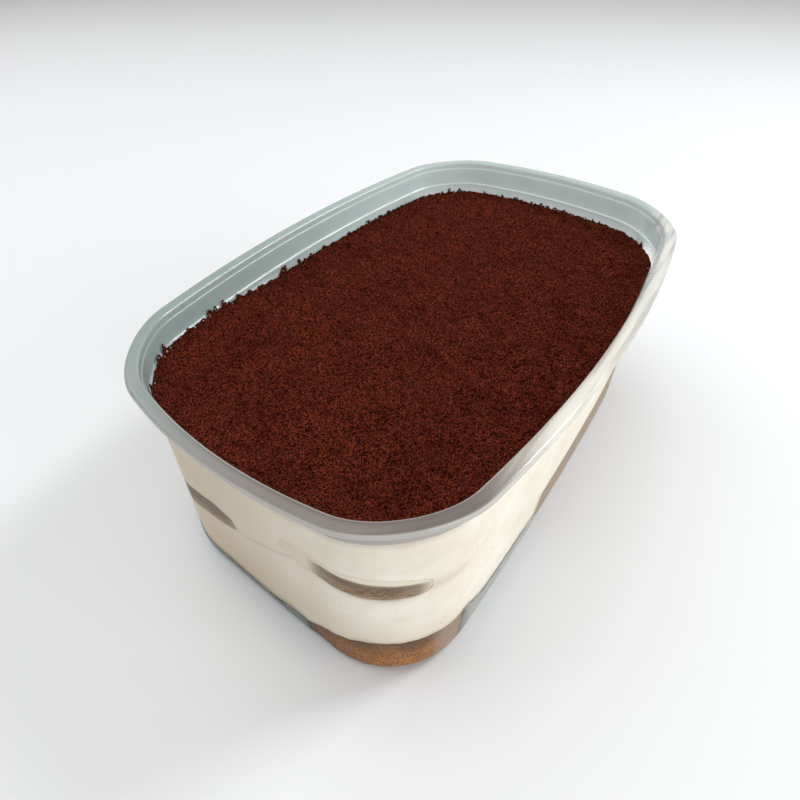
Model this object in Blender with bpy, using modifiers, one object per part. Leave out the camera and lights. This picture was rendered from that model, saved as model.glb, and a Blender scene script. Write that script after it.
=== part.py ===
"""Tiramisu in its clear plastic tub.

The tub is an oval-sided box with a flat rim, a turned-down lip and a narrow ledge below the rim. In it lie
a soaked sponge layer, a cream layer, two ladyfingers side by side, a second cream layer and a skin of cocoa.
Metres, +Z up. The origin is the middle of the tub's base, and X runs along its length.
"""

import math

import bmesh
import bpy

# Tub, plan of the rim. The corners are arcs and all four sides bow outwards between them.
TUB_HEIGHT = 0.0613
HALF_LENGTH = 0.0678
HALF_WIDTH = 0.0399
RIM_CORNER = 0.0164
RIM_BOW_ENDS = 0.106
RIM_BOW_SIDES = 0.181

# Tub, plan of the base, which is almost a plain rounded rectangle.
BASE_CORNER = 0.0195
BASE_BOW_ENDS = 0.004
BASE_BOW_SIDES = 0.040

# Tub, section of the wall.
WALL = 0.0006
LIP_DEPTH = 0.0012
RIM_ROUND = 0.0007
RIM_WIDTH = 0.0026
RIM_STEP_DROP = 0.0017
BAND_INSET = 0.0028
LEDGE_DROP = 0.0069
LEDGE_HEIGHT = 0.0004
LEDGE_INSET = 0.0031
BASE_ROUND = 0.0035

# Layers, as heights above the table.
GAP = 0.0003
SPONGE_FLOOR = WALL + GAP
SPONGE_TOP = 0.0142
SPONGE_TOP_FAR_END = 0.0205
CREAM_FOOT = 0.0055
SEAM_LOW = 0.0302
SEAM_RISE = 0.0076
COCOA_TOP = TUB_HEIGHT - 0.0103
COCOA_THICKNESS = 0.0010
SWEEP_RISE = 0.0027

# The sponge stands back from the wall round the far part of the near end, and a little along one side.
SPONGE_SETBACK = 0.0040
SPONGE_SIDE_SETBACK = 0.0012

# Ladyfingers: half sizes, and the centre height and place across the tub of each.
FINGER_HALF = (0.0702, 0.0158, 0.0055)
FINGER_PLAN_ROUNDNESS = 0.50
FINGER_SIDE_ROUNDNESS = 0.70

# Mesh fineness.
CORNER_STEPS = 7
LONG_STEPS = 9
SHORT_STEPS = 5
CAP_SHARES = (0.30, 0.60, 0.82, 0.93)

COLOURS = {
    "tub": ((0.86, 0.90, 0.89), 0.12, 0.25),
    "sponge_bottom": ((0.30, 0.13, 0.045), 0.85, 1.0),
    "cream_lower": ((0.86, 0.80, 0.66), 0.45, 1.0),
    "ladyfinger_near": ((0.34, 0.23, 0.13), 0.85, 1.0),
    "ladyfinger_far": ((0.34, 0.23, 0.13), 0.85, 1.0),
    "cream_upper": ((0.88, 0.83, 0.70), 0.45, 1.0),
    "cocoa": ((0.060, 0.012, 0.004), 0.95, 1.0),
}


def clear_scene():
    for obj in list(bpy.data.objects):
        bpy.data.objects.remove(obj, do_unlink=True)


def make_collection(name, hidden=False):
    collection = bpy.data.collections.new(name)
    collection.hide_render = hidden
    bpy.context.scene.collection.children.link(collection)
    return collection


def material(name):
    colour, roughness, alpha = COLOURS[name]
    made = bpy.data.materials.new(name)
    made.use_nodes = True
    shader = made.node_tree.nodes["Principled BSDF"]
    shader.inputs["Base Color"].default_value = (*colour, 1.0)
    shader.inputs["Roughness"].default_value = roughness
    shader.inputs["Metallic"].default_value = 0.0
    shader.inputs["Alpha"].default_value = alpha
    made.diffuse_color = (*colour, alpha)
    return made


def add_object(name, bm, collection):
    """A finished mesh as a named object with its own material, or as a helper if it has no colour."""
    mesh = bpy.data.meshes.new(name)
    bm.to_mesh(mesh)
    bm.free()
    obj = bpy.data.objects.new(name, mesh)
    collection.objects.link(obj)
    if name in COLOURS:
        mesh.materials.append(material(name))
    else:
        obj.display_type = "WIRE"
        obj.hide_render = True
    return obj


def blend(low, high, share):
    return low + (high - low) * share


def smooth(low, high, value):
    share = min(1.0, max(0.0, (value - low) / (high - low)))
    return share * share * (3 - 2 * share)


def outline(inset, height):
    """The tub's plan outline at a height, stepped in from the rim's outer edge: points run anticlockwise."""
    drop = 1 - height / TUB_HEIGHT
    length, width = HALF_LENGTH - inset, HALF_WIDTH - inset
    corner = blend(RIM_CORNER - inset, BASE_CORNER, drop)
    bow_ends = blend(RIM_BOW_ENDS, BASE_BOW_ENDS, drop)
    bow_sides = blend(RIM_BOW_SIDES, BASE_BOW_SIDES, drop)
    straight = []
    for quarter in range(4):
        turn = quarter * math.pi / 2
        side_x = 1 if quarter in (0, 3) else -1
        side_y = 1 if quarter in (0, 1) else -1
        for step in range(CORNER_STEPS + 1):
            angle = turn + step / CORNER_STEPS * math.pi / 2
            straight.append((
                side_x * (length - corner) + corner * math.cos(angle),
                side_y * (width - corner) + corner * math.sin(angle),
            ))
        # The side from this corner to the next: a long one after the first and third corner.
        steps = LONG_STEPS if quarter % 2 == 0 else SHORT_STEPS
        for step in range(1, steps):
            along = 1 - 2 * step / steps
            if quarter % 2 == 0:
                straight.append((along * side_x * (length - corner), side_y * width))
            else:
                straight.append((side_x * length, along * side_y * (width - corner)))
    return [
        (x * (1 + bow_ends * (1 - (y / width) ** 2)), y * (1 + bow_sides * (1 - (x / length) ** 2)))
        for x, y in straight
    ]


def wall_inset(height):
    """How far the wall's inner face lies inside the rim's outline, below the ledge."""
    ledge = TUB_HEIGHT - LEDGE_DROP - LEDGE_HEIGHT
    inset = WALL + (LEDGE_INSET - WALL) * min(1.0, height / ledge)
    inner_round = BASE_ROUND - WALL
    left = inner_round - (height - WALL)
    if left > 0:
        inset += inner_round - math.sqrt(max(0.0, inner_round**2 - left**2))
    return inset


def arc(centre, radius, start, end, steps):
    """Points of an arc in the section plane, angles in degrees, as (inset, height)."""
    angles = [math.radians(blend(start, end, step / steps)) for step in range(steps + 1)]
    return [(centre[0] - radius * math.cos(a), centre[1] + radius * math.sin(a)) for a in angles]


def tub_section():
    """The wall's top and inner face, from the lip's lower edge over the rim and down to the floor."""
    top = TUB_HEIGHT
    section = [(0.0, top - LIP_DEPTH)]
    section += arc((RIM_ROUND, top - RIM_ROUND), RIM_ROUND, 0, 90, 3)
    section += arc((RIM_WIDTH - RIM_ROUND, top - RIM_ROUND), RIM_ROUND, 90, 180, 3)
    section += [
        (RIM_WIDTH, top - RIM_STEP_DROP),
        (BAND_INSET, top - RIM_STEP_DROP - LEDGE_HEIGHT),
        (BAND_INSET, top - LEDGE_DROP),
    ]
    floor_round = BASE_ROUND - WALL
    body_top = top - LEDGE_DROP - LEDGE_HEIGHT
    heights = [body_top, body_top * 0.66, body_top * 0.33]
    for step in range(5):
        heights.append(WALL + floor_round * (1 - math.sin(math.radians(90 * step / 5))))
    section += [(wall_inset(height), height) for height in heights]
    section.append((wall_inset(WALL) + 0.0002, WALL))
    return section


def bridge(bm, first, second, split=""):
    """Quads between two closed rings of the same length, or triangles split forwards or back."""
    count = len(first)
    for index in range(count):
        after = (index + 1) % count
        a, b, c, d = first[index], first[after], second[after], second[index]
        if split == "forwards":
            faces = ((a, b, c), (a, c, d))
        elif split == "back":
            faces = ((a, b, d), (b, c, d))
        else:
            faces = ((a, b, c, d),)
        for face in faces:
            bm.faces.new(face)


def make_tub(collection):
    bm = bmesh.new()
    rings = []
    for inset, height in tub_section():
        rings.append([bm.verts.new((x, y, height)) for x, y in outline(inset, height)])
    for upper, lower in zip(rings, rings[1:]):
        bridge(bm, upper, lower)
    bm.faces.new(rings[-1])
    tub = add_object("tub", bm, collection)
    wall = tub.modifiers.new("wall", "SOLIDIFY")
    wall.thickness = WALL
    wall.offset = -1.0
    wall.use_even_offset = True
    return tub


def layer(name, low, high, collection, grow=0.0, setback=None, side_shares=(0, 0.33, 0.67, 1)):
    """A filling layer that follows the wall between two heights, each a function of x, y and share.

    The share is 0 in the middle and 1 at the wall. The setback is an extra step in from the wall."""
    bm = bmesh.new()

    def edge(index, height, x, y):
        extra = setback(x, y) if setback else 0.0
        return outline(wall_inset(height) + GAP - grow + extra, height)[index]

    places = outline(wall_inset(0.025), 0.025)
    sides = []
    for side_share in side_shares:
        ring = []
        for index, (x, y) in enumerate(places):
            height = blend(low(x, y, 1.0) - grow, high(x, y, 1.0) + grow, side_share)
            ring.append((*edge(index, height, x, y), height))
        sides.append(ring)

    def cap_ring(outer, share, surface, lift):
        return [(x * share, y * share, surface(x * share, y * share, share) + lift) for x, y, _ in outer]

    rings = [cap_ring(sides[0], share, low, -grow) for share in CAP_SHARES]
    rings += sides
    rings += [cap_ring(sides[-1], share, high, grow) for share in reversed(CAP_SHARES)]
    made = [[bm.verts.new(point) for point in ring] for ring in rings]
    # Both caps split their faces along the same lines, so that touching layers stay parallel.
    half = len(made) // 2
    for order, (first, second) in enumerate(zip(made, made[1:])):
        bridge(bm, first, second, "forwards" if order < half else "back")
    for ring, surface, lift in ((made[0], low, -grow), (made[-1], high, grow)):
        middle = bm.verts.new((0, 0, surface(0, 0, 0) + lift))
        for index in range(len(ring)):
            bm.faces.new((ring[index], middle, ring[(index + 1) % len(ring)]))
    bmesh.ops.recalc_face_normals(bm, faces=bm.faces)
    return add_object(name, bm, collection)


def waves(x, y, size, phase):
    """A slow, uneven swell of a spooned surface."""
    return size * (
        math.sin(62 * x + 35 * y + phase) + 0.7 * math.sin(-41 * x + 88 * y + 2.1 * phase)
        + 0.4 * math.sin(120 * x + 20 * y + 3.3 * phase)
    ) / 2.1


def sponge_low(x, y, share):
    return SPONGE_FLOOR


def sponge_high(x, y, share):
    """The sponge is a little thicker towards the far end."""
    rise = smooth(-0.045, 0.015, x)
    return blend(SPONGE_TOP, SPONGE_TOP_FAR_END, rise) + waves(x, y, 0.0005, 1.0)


def side_gap(x, y):
    """1 along the stretch of the near side where the sponge stands a little off the wall, else 0."""
    return smooth(-0.050, -0.043, x) * smooth(-0.008, -0.020, x) * smooth(-0.030, -0.036, y)


def sponge_setback(x, y):
    end = smooth(-0.046, -0.060, x) * smooth(-0.018, -0.010, y)
    far_corner = smooth(0.004, 0.018, y) * smooth(-0.020, -0.045, x)
    return max(SPONGE_SETBACK * max(end, far_corner), SPONGE_SIDE_SETBACK * side_gap(x, y))


def cream_low(x, y, share):
    """Where the sponge stands back, cream hangs down beside it and stops short of the floor."""
    return CREAM_FOOT + waves(x, y, 0.0007, 4.0) + 0.0045 * side_gap(x, y)


def seam(x, y):
    """Where the two cream layers meet: a step up across the tub, from one ladyfinger to the other."""
    return SEAM_LOW + SEAM_RISE * smooth(0.0, -0.0144, y) + waves(x, y, 0.0005, 2.0)


def cream_lower_high(x, y, share):
    return seam(x, y) - GAP / 2


def cream_upper_low(x, y, share):
    return seam(x, y) + GAP / 2


def cocoa_high(x, y, share):
    """Level cocoa, swept up against the wall round the near end and along the near side."""
    near_end = smooth(-0.012, -0.044, x)
    near_side = smooth(-0.010, -0.030, y) * smooth(0.052, 0.030, x)
    sweep = max(near_end, near_side) * smooth(0.86, 1.0, share)
    return COCOA_TOP + waves(x, y, 0.00025, 0.5) * (1 - smooth(0.8, 1.0, share)) + SWEEP_RISE * sweep


def cocoa_low(x, y, share):
    return cocoa_high(x, y, share) - COCOA_THICKNESS


def cream_upper_high(x, y, share):
    return cocoa_low(x, y, share) - GAP


def power(value, exponent):
    return math.copysign(abs(value) ** exponent, value)


def finger_mesh(grow):
    """A ladyfinger: a sphere pulled out to a long, flat bar with rounded ends."""
    bm = bmesh.new()
    bmesh.ops.create_uvsphere(bm, u_segments=24, v_segments=10, radius=1.0)
    half = [size + grow for size in FINGER_HALF]
    for vert in bm.verts:
        x, y, z = vert.co
        around = math.atan2(y, x)
        up = math.asin(max(-1.0, min(1.0, z)))
        girth = power(math.cos(up), FINGER_SIDE_ROUNDNESS)
        vert.co = (
            half[0] * girth * power(math.cos(around), FINGER_PLAN_ROUNDNESS),
            half[1] * girth * power(math.sin(around), FINGER_PLAN_ROUNDNESS),
            half[2] * power(math.sin(up), FINGER_SIDE_ROUNDNESS),
        )
    return bm


def place_finger(obj, place):
    centre, yaw, pitch, roll = place
    obj.location = centre
    obj.rotation_euler = (math.radians(roll), math.radians(pitch), math.radians(yaw))


def cut(target, cutter, operation):
    boolean = target.modifiers.new(cutter.name, "BOOLEAN")
    boolean.object = cutter
    boolean.operation = operation
    boolean.solver = "EXACT"


# Each ladyfinger: centre, then yaw, pitch and roll in degrees.
FINGERS = {
    "ladyfinger_near": ((0.0002, -0.0222, 0.0386), 0.0, 0.6, 6.0),
    "ladyfinger_far": ((-0.0016, 0.0176, 0.0312), 0.0, 0.0, -11.0),
}


def main():
    clear_scene()
    parts = make_collection("tiramisu_in_tub")
    cutters = make_collection("cutters", hidden=True)

    make_tub(parts)
    # The sponge's side needs close steps low down, where it follows the tub's rounded foot.
    foot_shares = (0, 0.04, 0.14, 0.40, 1)
    layer("sponge_bottom", sponge_low, sponge_high, parts, 0, sponge_setback, foot_shares)
    lower = layer("cream_lower", cream_low, cream_lower_high, parts)
    upper = layer("cream_upper", cream_upper_low, cream_upper_high, parts)
    layer("cocoa", cocoa_low, cocoa_high, parts, side_shares=(0, 1))

    sponge_room = layer("room_sponge", sponge_low, sponge_high, cutters, GAP, sponge_setback, foot_shares)
    cut(lower, sponge_room, "DIFFERENCE")
    inside = layer("inside_of_tub", lambda x, y, share: 0.020, lambda x, y, share: 0.050, cutters)
    for name, place in FINGERS.items():
        finger = add_object(name, finger_mesh(0.0), parts)
        room = add_object("room_" + name, finger_mesh(GAP), cutters)
        place_finger(finger, place)
        place_finger(room, place)
        cut(finger, inside, "INTERSECT")
        cut(lower, room, "DIFFERENCE")
        cut(upper, room, "DIFFERENCE")


main()
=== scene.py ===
# %% Start
import math

import bpy
import numpy as np
from mathutils import Matrix, Vector
from mathutils.geometry import delaunay_2d_cdt


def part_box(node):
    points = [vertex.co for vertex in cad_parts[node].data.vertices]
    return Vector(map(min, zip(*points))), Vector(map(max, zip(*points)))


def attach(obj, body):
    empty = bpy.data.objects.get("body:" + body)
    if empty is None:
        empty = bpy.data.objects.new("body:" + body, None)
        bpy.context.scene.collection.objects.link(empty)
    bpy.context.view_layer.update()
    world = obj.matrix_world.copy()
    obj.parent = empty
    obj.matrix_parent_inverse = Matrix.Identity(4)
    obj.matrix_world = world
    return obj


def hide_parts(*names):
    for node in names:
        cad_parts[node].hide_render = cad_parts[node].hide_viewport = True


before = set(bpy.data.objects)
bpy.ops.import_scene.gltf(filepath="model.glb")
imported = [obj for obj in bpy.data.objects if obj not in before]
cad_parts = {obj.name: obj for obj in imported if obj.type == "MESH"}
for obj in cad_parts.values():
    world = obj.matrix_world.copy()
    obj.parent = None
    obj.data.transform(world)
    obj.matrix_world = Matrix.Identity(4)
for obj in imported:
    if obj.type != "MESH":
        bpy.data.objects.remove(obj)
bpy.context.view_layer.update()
print("solids:", ", ".join(sorted(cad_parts)))

# %% [markdown]
# ## How nodes are written here
# A finish and a geometry tree are both made of nodes. Placing each node by hand hides the idea behind it, so a
# small class wraps a socket and lets it take part in ordinary sums: `1 - wet * 0.5` adds its Math nodes by
# itself. Every other node comes from one method that takes its type, its settings and its sockets.


# %% Sockets that can be added and multiplied
class Wire:
    """An output socket that works in sums."""

    def __init__(self, board, socket):
        self.board, self.socket = board, socket

    def math(self, operation, other=None, swapped=False, limit=False):
        pair = (other, self) if swapped else (self, other)
        settings = {"operation": operation, "use_clamp": limit}
        return self.board.node("ShaderNodeMath", settings, dict(enumerate(pair)))

    def __add__(self, other):
        return self.math("ADD", other)

    def __sub__(self, other):
        return self.math("SUBTRACT", other)

    def __rsub__(self, other):
        return self.math("SUBTRACT", other, swapped=True)

    def __mul__(self, other):
        return self.math("MULTIPLY", other)

    def __truediv__(self, other):
        return self.math("DIVIDE", other)

    def __pow__(self, other):
        return self.math("POWER", other)

    __radd__, __rmul__ = __add__, __mul__

    def limited(self):
        return self.math("ADD", 0.0, limit=True)


class Board:
    """A tree of nodes, of a finish or of a shape."""

    def __init__(self, tree):
        self.tree = tree

    def node(self, kind, settings=None, sockets=None, out=0):
        made = self.tree.nodes.new(kind)
        for name, value in (settings or {}).items():
            if name == "stops":
                stops = made.color_ramp.elements
                stops[0].position, stops[1].position = value[0][0], value[-1][0]
                for place, _ in value[1:-1]:
                    stops.new(place)
                for stop, (_, colour) in zip(stops, value):
                    stop.color = (*colour, 1.0)
            else:
                setattr(made, name, value)
        for name, value in (sockets or {}).items():
            if isinstance(value, Wire):
                self.tree.links.new(value.socket, made.inputs[name])
            elif value is not None:
                colour = made.inputs[name].type == "RGBA" and len(value) == 3
                made.inputs[name].default_value = (*value, 1.0) if colour else value
        return Wire(self, made.outputs[out]) if made.outputs else made

    def outputs(self, kind, settings=None, sockets=None):
        first = self.node(kind, settings, sockets)
        return [Wire(self, socket) for socket in first.socket.node.outputs]

    def vector(self, operation, first, second=None):
        return self.node("ShaderNodeVectorMath", {"operation": operation}, {0: first, 1: second})

    def ease(self, low, high, value, start=0.0, end=1.0):
        """A soft step from start to end as value goes from low to high."""
        return self.node(
            "ShaderNodeMapRange", {"interpolation_type": "SMOOTHSTEP"},
            {0: value, 1: low, 2: high, 3: start, 4: end},
        )

    def mix(self, share, first, second):
        """From the first colour to the second."""
        return self.node("ShaderNodeMix", {"data_type": "RGBA"}, {0: share, 6: first, 7: second}, out=2)

    def attribute(self, name):
        return self.node("ShaderNodeAttribute", {"attribute_name": name}, out=2)


print("helpers: Wire, Board")

# %% [markdown]
# ## Finishes
# Every finish starts from the same few things: where a point lies on the piece in metres, noise of a chosen
# grain size, and a small bump. Grain sizes are given in metres, because powder and crumb have a true size.


# %% Helpers for finishes
class Finish(Board):
    """A material under construction."""

    def __init__(self, name):
        self.material = bpy.data.materials.new(name)
        self.material.use_nodes = True
        super().__init__(self.material.node_tree)
        self.tree.nodes.clear()
        self.place = self.node("ShaderNodeTexCoord", out=3)
        self.x, self.y, self.z = self.outputs("ShaderNodeSeparateXYZ", None, {0: self.place})

    def noise(self, grain, detail=2.0, roughness=0.5, stretch=(1, 1, 1)):
        """Noise with lumps of about the given size, from 0 to 1."""
        place = self.vector("MULTIPLY", self.place, tuple(1 / (grain * side) for side in stretch))
        return self.node(
            "ShaderNodeTexNoise", None,
            {"Vector": place, "Scale": 1.0, "Detail": detail, "Roughness": roughness},
        )

    def bump(self, height, distance, strength=1.0, normal=None):
        return self.node(
            "ShaderNodeBump", None,
            {"Height": height, "Distance": distance, "Strength": strength, "Normal": normal},
        )

    def shader(self, **sockets):
        named = {name.replace("_", " "): value for name, value in sockets.items()}
        return self.node("ShaderNodeBsdfPrincipled", None, named)

    def done(self, surface):
        self.node("ShaderNodeOutputMaterial", None, {"Surface": surface})
        return self.material


def paint(red, green, blue):
    """A screen colour, 0 to 255, as the linear colour that a shader takes."""
    return tuple(
        (part / 255 / 12.92) if part <= 10.3 else ((part / 255 + 0.055) / 1.055) ** 2.4
        for part in (red, green, blue)
    )


print("helpers: Finish, paint")

# %% [markdown]
# ## The tub's measures
# The tub is a rounded box whose four sides bow outwards, most at the rim and hardly at the base. Its height
# comes from the solid; its length and width, the radii, bows and steps are the measures of the moulding. One rule
# gives the outline at any height, and every filling layer uses the same rule, so that all of them follow the wall.

# %% Measures
_, tub_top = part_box("tub")
HEIGHT = tub_top.z
HALF_LENGTH, HALF_WIDTH = 0.0678, 0.0399
RIM_CORNER, RIM_BOW_ENDS, RIM_BOW_SIDES = 0.0164, 0.106, 0.181
BASE_CORNER, BASE_BOW_ENDS, BASE_BOW_SIDES = 0.0195, 0.004, 0.040
WALL = 0.0006
LEDGE_DROP, LEDGE_HEIGHT, LEDGE_INSET = 0.0069, 0.0004, 0.0031
BASE_ROUND = 0.0035
print("tub %.1f mm high, %.1f mm long" % (HEIGHT * 1000, tub_top.x * 2000))


# %% The outline's rule
def blend(low, high, share):
    return low + (high - low) * share


def smooth(low, high, value):
    share = np.clip((value - low) / (high - low), 0.0, 1.0)
    return share * share * (3 - 2 * share)


def walk(corner_steps, long_steps, short_steps):
    """Places round the outline, from 0 to 4: in each quarter the first half is a corner and the rest a side."""
    places = []
    for quarter in range(4):
        side_steps = long_steps if quarter % 2 == 0 else short_steps
        places += [quarter + 0.5 * step / corner_steps for step in range(corner_steps)]
        places += [quarter + 0.5 + 0.5 * step / side_steps for step in range(side_steps)]
    return np.array(places)


def side_of(place):
    """-1 to 1: on which side of the middle the corner's centre lies, and how far along a straight side."""
    return np.clip(4 * (np.abs((place - 1.75 + 2) % 4 - 2) - 1), -1, 1)


def outline(place, inset, height):
    """The tub's outline at a height, stepped in from the rim's edge: x and y of each place."""
    turned = (np.floor(place) + np.clip(2 * (place % 1), 0, 1)) * math.pi / 2
    drop = 1 - height / HEIGHT
    length, width = HALF_LENGTH - inset, HALF_WIDTH - inset
    corner = blend(RIM_CORNER - inset, BASE_CORNER, drop)
    x = side_of(place) * (length - corner) + corner * np.cos(turned)
    y = side_of(place - 1) * (width - corner) + corner * np.sin(turned)
    bow_ends = blend(RIM_BOW_ENDS, BASE_BOW_ENDS, drop)
    bow_sides = blend(RIM_BOW_SIDES, BASE_BOW_SIDES, drop)
    return x * (1 + bow_ends * (1 - (y / width) ** 2)), y * (1 + bow_sides * (1 - (x / length) ** 2))


def wall_inset(height):
    """How far the wall's inner face lies in from the rim's edge, below the ledge."""
    ledge = HEIGHT - LEDGE_DROP - LEDGE_HEIGHT
    inner_round = BASE_ROUND - WALL
    left = np.clip(inner_round - (height - WALL), 0, inner_round)
    rounded = inner_round - np.sqrt(inner_round**2 - left**2)
    return WALL + (LEDGE_INSET - WALL) * np.clip(height / ledge, 0, 1) + rounded


def rough(x, y, z, wavelength, seed, waves=24):
    """Unevenness with one main wavelength: waves of random directions added up, about -2 to 2."""
    dice = np.random.default_rng(seed)
    way = dice.normal(size=(waves, 3))
    way *= (2 * math.pi / wavelength * dice.uniform(0.75, 1.3, waves) / np.linalg.norm(way, axis=1))[:, None]
    total = 0.0
    for (a, b, c), start in zip(way, dice.uniform(0, 2 * math.pi, waves)):
        total = total + np.sin(a * x + b * y + c * z + start)
    return total / math.sqrt(waves / 2)


print("outline at the rim, first place:", *outline(np.array([0.0]), 0.0, HEIGHT))

# %% [markdown]
# ## Meshes from rings
# Each layer of the filling is a stack of closed rings with a fan over the middle at both ends. Rings make a
# closed solid with evenly spread faces, and their points can be moved by the same rules that shape the layer.


# %% From points to a piece
def new_piece(name, points, faces, material, smooth_faces=True):
    mesh = bpy.data.meshes.new(name)
    mesh.from_pydata(points, [], faces)
    mesh.polygons.foreach_set("use_smooth", [smooth_faces] * len(mesh.polygons))
    if material is not None:
        mesh.materials.append(material)
    piece = bpy.data.objects.new(name, mesh)
    bpy.context.scene.collection.objects.link(piece)
    return piece


def ring_solid(name, rings, material):
    """A closed solid: rings from the lowest cap over the side to the highest cap, each an array of points."""
    count = len(rings[0])
    points = [tuple(point) for ring in rings for point in ring.tolist()]
    points += [tuple(rings[0].mean(0)), tuple(rings[-1].mean(0))]
    faces = []
    for row in range(len(rings) - 1):
        base = row * count
        for step in range(count):
            after = (step + 1) % count
            faces.append((base + step, base + after, base + count + after, base + count + step))
    low, high = len(points) - 2, len(points) - 1
    last = (len(rings) - 1) * count
    faces += [(low, (step + 1) % count, step) for step in range(count)]
    faces += [(high, last + step, last + (step + 1) % count) for step in range(count)]
    return new_piece(name, points, faces, material)


def settle(piece):
    """Makes the modifiers' result the piece's own mesh and takes the modifiers off."""
    graph = bpy.context.evaluated_depsgraph_get()
    mesh = bpy.data.meshes.new_from_object(
        piece.evaluated_get(graph), preserve_all_data_layers=True, depsgraph=graph
    )
    piece.modifiers.clear()
    piece.data = mesh
    return piece


def points_of(piece):
    flat = np.empty(len(piece.data.vertices) * 3)
    piece.data.vertices.foreach_get("co", flat)
    return flat.reshape(-1, 3)


def note(piece, name, values):
    """Keeps one number for each point of the piece, for its finish to read."""
    kept = piece.data.attributes.new(name, "FLOAT", "POINT")
    kept.data.foreach_set("value", np.asarray(values, np.float32))


def told(piece):
    piece.data.calc_loop_triangles()
    print("%s: %d triangles" % (piece.name, len(piece.data.loop_triangles)))


print("helpers: new_piece, ring_solid, settle, note")

# %% [markdown]
# ## The layers' rules
# The layers aren't flat. The sponge is thicker towards the far end and stands back from the wall in places, the
# cream hangs down beside it and stops short of the floor, and the two creams meet in a step between the
# ladyfingers. The cocoa is level, but it was swept up the wall round the near end and along the near side.

# %% Heights and gaps of the layers
SPONGE_FLOOR = 0.0009
SPONGE_TOP, SPONGE_TOP_FAR_END = 0.0142, 0.0205
CREAM_FOOT = 0.0048
SEAM_LOW, SEAM_RISE = 0.0302, 0.0076
COCOA_TOP, COCOA_THICKNESS, SWEEP_RISE = HEIGHT - 0.0103, 0.0010, 0.0027


def waves(x, y, size, phase):
    slow = np.sin(62 * x + 35 * y + phase) + 0.7 * np.sin(-41 * x + 88 * y + 2.1 * phase)
    return size * (slow + 0.4 * np.sin(120 * x + 20 * y + 3.3 * phase)) / 2.1


def side_gap(x, y):
    """1 where the sponge stands a little off the near side's wall."""
    return smooth(-0.050, -0.043, x) * smooth(-0.008, -0.020, x) * smooth(-0.030, -0.036, y)


def sponge_setback(x, y):
    end = smooth(-0.046, -0.060, x) * smooth(-0.0140, -0.0085, y)
    far_corner = smooth(0.004, 0.018, y) * smooth(-0.020, -0.045, x)
    return np.maximum(0.0040 * np.maximum(end, far_corner), 0.0012 * side_gap(x, y))


def sponge_high(x, y, share=1.0):
    rise = smooth(-0.045, 0.015, x)
    far_wedge = 0.0075 * smooth(-0.026, -0.044, x) * smooth(0.008, 0.020, y)
    worn = np.interp(y, (-0.0269, -0.0223, -0.0168, -0.0134, -0.0105), (0.0, 0.0020, 0.0040, 0.0067, 0.0100))
    high = blend(SPONGE_TOP, SPONGE_TOP_FAR_END, rise) + waves(x, y, 0.0005, 1.0)
    return np.maximum(high - worn * smooth(-0.056, -0.064, x) - far_wedge, SPONGE_FLOOR + 0.0015)


def cream_low(x, y, share=1.0):
    end = 0.0030 * smooth(0.002, -0.0115, y) * smooth(-0.030, -0.055, x)
    side = blend(0.0070, 0.0042, smooth(-0.047, -0.040, x)) * smooth(0.0, 0.33, side_gap(x, y))
    return CREAM_FOOT + waves(x, y, 0.0005, 4.0) + end + side


def seam(x, y):
    return SEAM_LOW + SEAM_RISE * np.clip((0.001 - y) / 0.0155, 0, 1) + waves(x, y, 0.0004, 2.0)


def cocoa_high(x, y, share):
    near_end = smooth(-0.012, -0.044, x)
    near_side = smooth(-0.010, -0.030, y) * smooth(0.052, 0.030, x)
    sweep = np.maximum(near_end, near_side) * smooth(0.86, 1.0, share)
    level = waves(x, y, 0.00025, 0.5) * (1 - smooth(0.8, 1.0, share))
    return COCOA_TOP + level + SWEEP_RISE * sweep


def cocoa_thick(x, y, share):
    """The layer thins out to a film where it was swept up the near walls."""
    swept = np.maximum(smooth(-0.030, -0.050, x), smooth(-0.018, -0.032, y))
    return COCOA_THICKNESS - (COCOA_THICKNESS - 0.00035) * swept * smooth(0.90, 0.99, share)


print("cocoa %.1f mm below the rim" % ((HEIGHT - COCOA_TOP) * 1000))
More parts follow.
